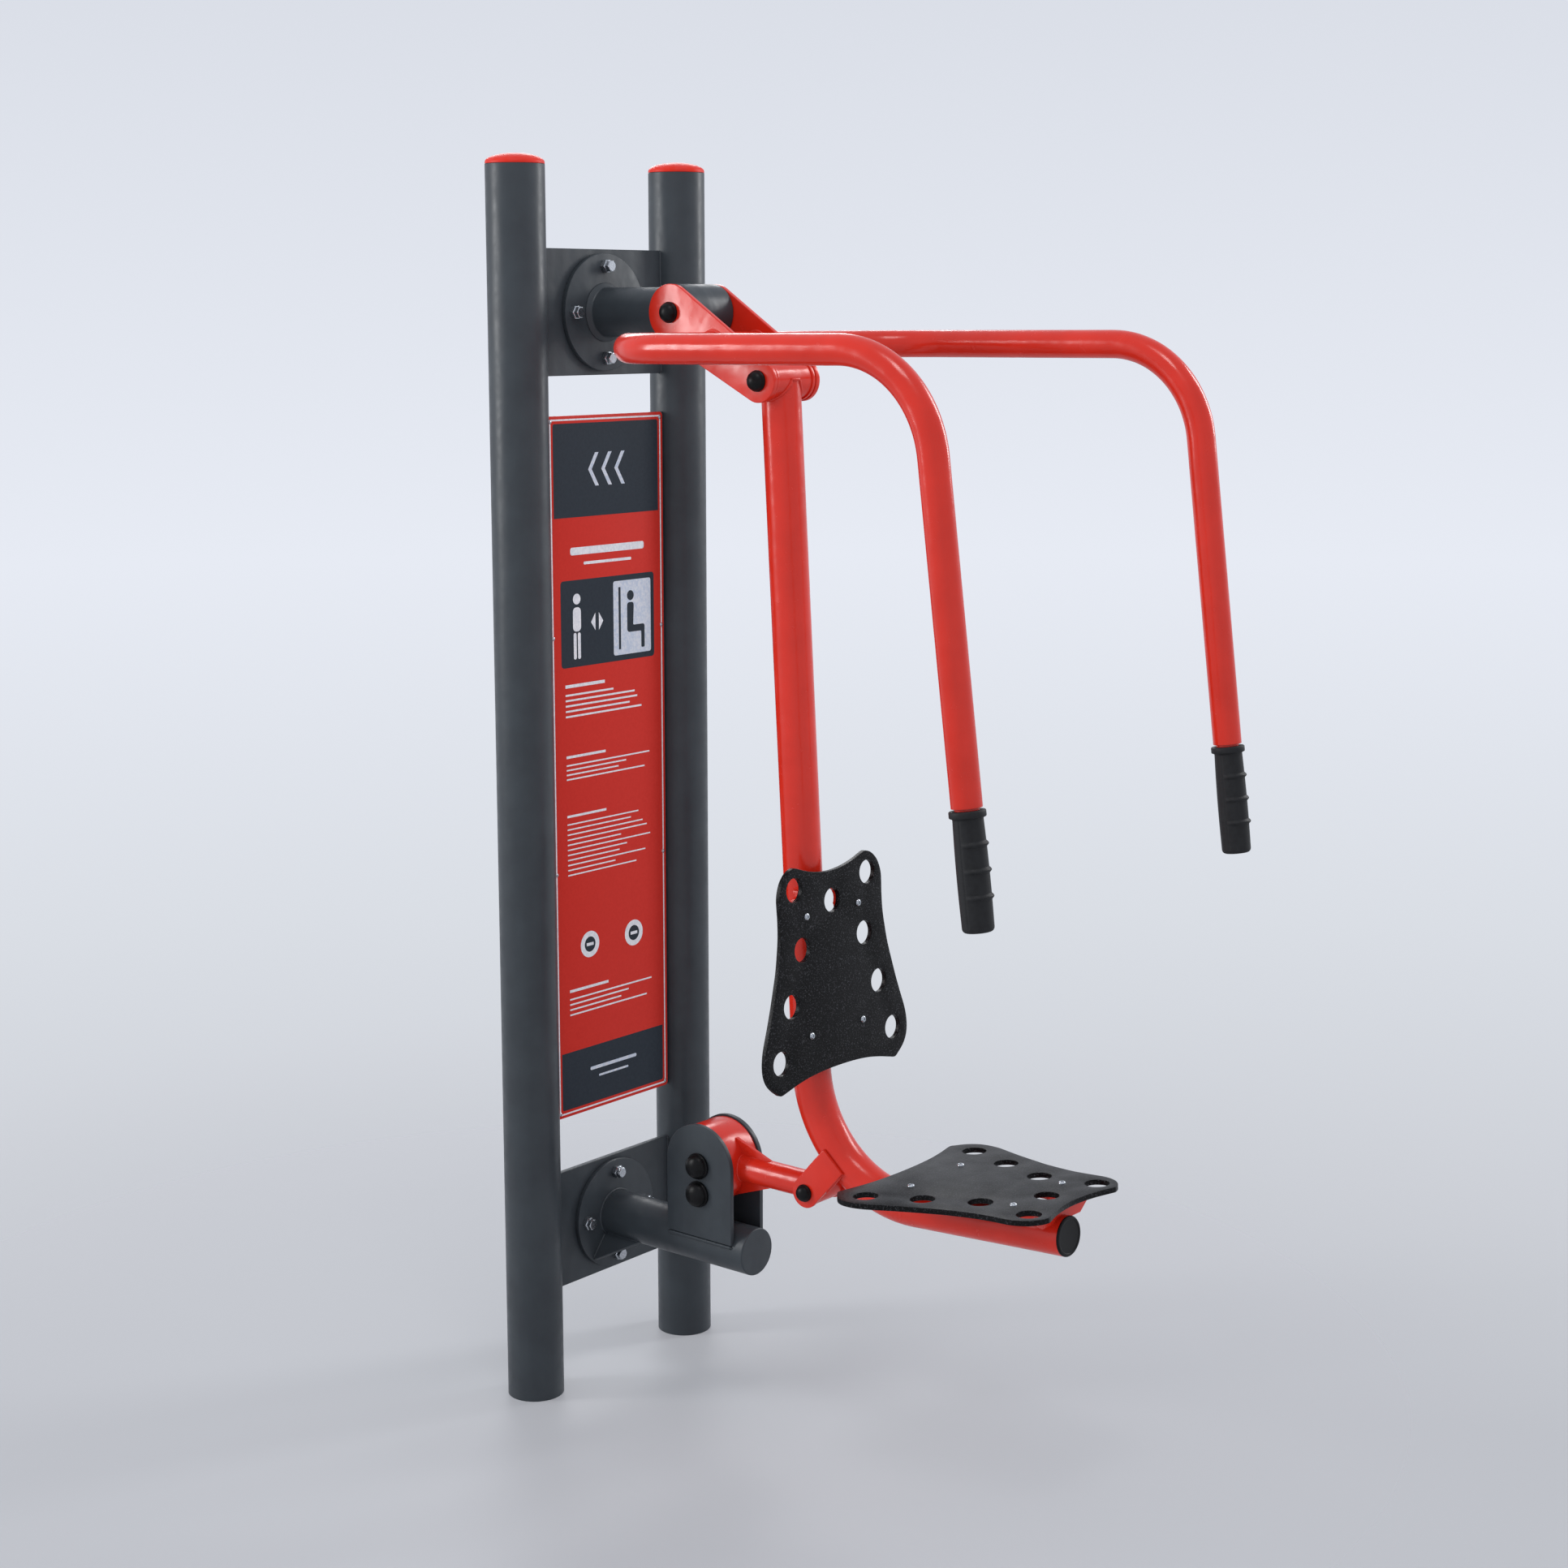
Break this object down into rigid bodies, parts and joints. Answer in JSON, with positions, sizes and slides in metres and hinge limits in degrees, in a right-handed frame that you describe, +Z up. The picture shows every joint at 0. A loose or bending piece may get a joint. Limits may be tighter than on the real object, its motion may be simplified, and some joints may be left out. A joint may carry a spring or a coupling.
{
  "type": "outdoor seated chest press",
  "caption": "Outdoor seated chest press: two round posts with a sign board carry a swinging handlebar that lifts a hanging seat with backrest through linked arms.",
  "frame": {"origin": "on the ground, midway between the two posts", "axes": "+Z up, user faces -Y, X across the machine"},
  "size_m": [0.7102, 1.0331, 1.9586],
  "materials": {
    "grey_coat": "anthracite powder coat, fine texture",
    "red_coat": "bright red powder coat, semi gloss",
    "panel_black": "fine-grained black plastic sheet",
    "black_plastic": "smooth moulded black plastic",
    "grip_rubber": "matt black rubber",
    "red_plastic": "glossy red plastic",
    "zinc_steel": "zinc plated",
    "sign_print": "printed sheet, satin"
  },
  "bodies": {
    "frame": {"post_left": "grey_coat", "post_right": "grey_coat", "post_cap_left": "red_plastic", "post_cap_right": "red_plastic", "post_foot_left": "grey_coat", "post_foot_right": "grey_coat", "upper_cross_plate": "grey_coat", "lower_cross_plate": "grey_coat", "upper_bracket": "grey_coat", "lower_bracket": "grey_coat", "upper_bearing_left": "black_plastic", "upper_bearing_right": "black_plastic", "upper_bolt_1": "zinc_steel", "upper_bolt_2": "zinc_steel", "upper_bolt_3": "zinc_steel", "upper_bolt_4": "zinc_steel", "lower_bolt_1": "zinc_steel", "lower_bolt_2": "zinc_steel", "lower_bolt_3": "zinc_steel", "lower_bolt_4": "zinc_steel", "clevis_plate_left": "grey_coat", "clevis_plate_right": "grey_coat", "lower_core": "grey_coat", "core_bolt_1": "zinc_steel", "core_bolt_2": "zinc_steel", "core_cap_left_1": "black_plastic", "core_cap_left_2": "black_plastic", "core_cap_right_1": "black_plastic", "core_cap_right_2": "black_plastic", "sign_board": "sign_print", "sign_rail_left": "grey_coat", "sign_rail_right": "grey_coat"},
    "upper_link": {"link_plate_left": "red_coat", "link_plate_right": "red_coat", "handlebar": "red_coat", "grip_left": "grip_rubber", "grip_right": "grip_rubber", "upper_axle": "zinc_steel", "seat_axle": "zinc_steel", "upper_axle_cap_left": "black_plastic", "upper_axle_cap_right": "black_plastic", "seat_axle_cap_left": "black_plastic", "seat_axle_cap_right": "black_plastic"},
    "seat_frame": {"seat_hub": "red_coat", "seat_bearing_left": "black_plastic", "seat_bearing_right": "black_plastic", "seat_tube": "red_coat", "seat_tube_plug": "black_plastic", "ear_left": "red_coat", "ear_right": "red_coat", "lower_pin": "zinc_steel", "lower_pin_cap_left": "black_plastic", "lower_pin_cap_right": "black_plastic", "backrest_plate": "panel_black", "seat_plate": "panel_black", "backrest_bracket_1": "red_coat", "backrest_bracket_2": "red_coat", "seat_bracket_1": "red_coat", "seat_bracket_2": "red_coat"},
    "lower_link_body": {"lower_link": "red_coat"}
  },
  "joints": [
    {"name": "handle_swing", "type": "hinge", "parent": "frame", "child": "upper_link", "pos_m": [0, -0.1937, 1.7238], "axis": [-1, 0, 0], "range_deg": [0, 30]},
    {"name": "seat_pivot", "type": "hinge", "parent": "upper_link", "child": "seat_frame", "pos_m": [0, -0.36517, 1.6248], "axis": [-1, 0, 0], "range_deg": [-32.4, 0]},
    {"name": "lower_swing", "type": "hinge", "parent": "frame", "child": "lower_link_body", "pos_m": [0, -0.2283, 0.3919], "axis": [-1, 0, 0], "range_deg": [0, 26.5]}
  ],
  "couplings": [
    {"joint": "seat_pivot", "follows": "handle_swing", "ratio": -1.0766},
    {"joint": "lower_swing", "follows": "handle_swing", "ratio": 0.8781}
  ]
}
